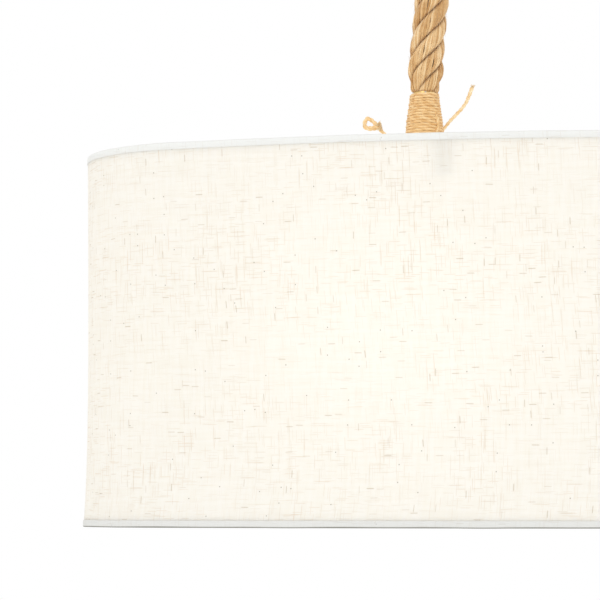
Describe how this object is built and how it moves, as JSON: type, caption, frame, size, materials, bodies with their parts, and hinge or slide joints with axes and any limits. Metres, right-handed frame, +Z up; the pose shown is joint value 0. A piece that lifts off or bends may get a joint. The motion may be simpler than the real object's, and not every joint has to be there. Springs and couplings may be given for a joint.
{
  "type": "oval drum pendant lamp",
  "caption": "Oval linen drum shade with a hard liner, hung from a slim ceiling canopy on bound jute ropes, lit inside by screw-in lamps.",
  "frame": {"origin": "middle of the canopy's ceiling face", "axes": "+Z up into the ceiling, X along the shade's long axis, -Y the front"},
  "size_m": [0.9908, 0.3788, 0.591],
  "materials": {
    "bracket_steel": "zinc plated strip",
    "canopy_paint": "matt off-white powder coat",
    "brass": "brushed, slightly dulled",
    "steel_pin": "turned, bright",
    "terminal_plastic": "moulded",
    "flex_pvc": "smooth sheath",
    "jute_rope": "four-strand twisted jute, hairy",
    "jute_twine": "fine waxed jute twine",
    "frame_paint": "matt off-white",
    "liner_styrene": "thin translucent backing sheet",
    "linen": "slubby plain weave, translucent",
    "linen_hem": "folded linen edge",
    "holder_plastic": "moulded thermoset",
    "bulb_glass": "clear",
    "bulb_metal": "pressed thread",
    "bulb_filament": "warm white filaments"
  },
  "bodies": {
    "ceiling": {"ceiling_bracket": "bracket_steel", "canopy": "canopy_paint", "canopy_studs": "bracket_steel", "canopy_nuts": "brass", "housing_nuts": "steel_pin", "terminal_block": "terminal_plastic", "terminal_screws": "steel_pin", "swivel_housing_left": "brass", "swivel_housing_right": "brass", "flex_feed_left": "flex_pvc", "flex_feed_right": "flex_pvc"},
    "gimbals": {"gimbal_ring_left": "brass", "gimbal_ring_right": "brass", "gimbal_pins": "steel_pin"},
    "rope_left": {"swivel_collar_left": "brass", "collar_pins_left": "steel_pin", "rope_cup_left": "brass", "top_whipping_left": "jute_twine", "rope_left": "jute_rope", "flex_core_left": "flex_pvc"},
    "rope_right": {"swivel_collar_right": "brass", "collar_pins_right": "steel_pin", "rope_cup_right": "brass", "top_whipping_right": "jute_twine", "rope_right": "jute_rope", "flex_core_right": "flex_pvc"},
    "shade": {"stem_nuts": "steel_pin", "socket_pins": "steel_pin", "ring_top": "frame_paint", "ring_bottom": "frame_paint", "shade_liner": "liner_styrene", "shade_linen": "linen", "hem_top": "linen_hem", "hem_bottom": "linen_hem", "whipping_left": "jute_twine", "rope_socket_left": "brass", "stem_left": "steel_pin", "crossbar_left": "frame_paint", "flex_drop_left": "flex_pvc", "lampholder_cap_left": "holder_plastic", "lampholder_body_left": "holder_plastic", "lampholder_insert_left": "brass", "twine_tail_left": "jute_twine", "twine_curl_left": "jute_twine", "whipping_right": "jute_twine", "rope_socket_right": "brass", "stem_right": "steel_pin", "crossbar_right": "frame_paint", "flex_drop_right": "flex_pvc", "lampholder_cap_right": "holder_plastic", "lampholder_body_right": "holder_plastic", "lampholder_insert_right": "brass", "twine_tail_right": "jute_twine", "twine_curl_right": "jute_twine"},
    "bulb_left": {"bulb_globe_left": "bulb_glass", "bulb_cap_left": "bulb_metal", "bulb_filament_left": "bulb_filament"},
    "bulb_right": {"bulb_globe_right": "bulb_glass", "bulb_cap_right": "bulb_metal", "bulb_filament_right": "bulb_filament"}
  },
  "joints": [
    {"name": "swing_front_back", "type": "hinge", "parent": "ceiling", "child": "gimbals", "pos_m": [0, 0, -0.04], "axis": [1, 0, 0], "range_deg": [-12, 12]},
    {"name": "sway_left_rope", "type": "hinge", "parent": "gimbals", "child": "rope_left", "pos_m": [-0.1995, 0, -0.04], "axis": [0, 1, 0], "range_deg": [-10, 10]},
    {"name": "sway_right_rope", "type": "hinge", "parent": "gimbals", "child": "rope_right", "pos_m": [0.1995, 0, -0.04], "axis": [0, 1, 0], "range_deg": [-10.01, 10.01]},
    {"name": "shade_level", "type": "hinge", "parent": "rope_left", "child": "shade", "pos_m": [-0.2125, 0, -0.23], "axis": [0, 1, 0], "range_deg": [-10, 10]},
    {"name": "unscrew_left_bulb", "type": "slide", "parent": "shade", "child": "bulb_left", "axis": [0, 0, -1], "range_m": [0, 0.25]},
    {"name": "unscrew_right_bulb", "type": "slide", "parent": "shade", "child": "bulb_right", "axis": [0, 0, -1], "range_m": [0, 0.25]}
  ],
  "couplings": [
    {"joint": "sway_right_rope", "follows": "sway_left_rope", "ratio": 1},
    {"joint": "shade_level", "follows": "sway_left_rope", "ratio": -0.93882}
  ]
}
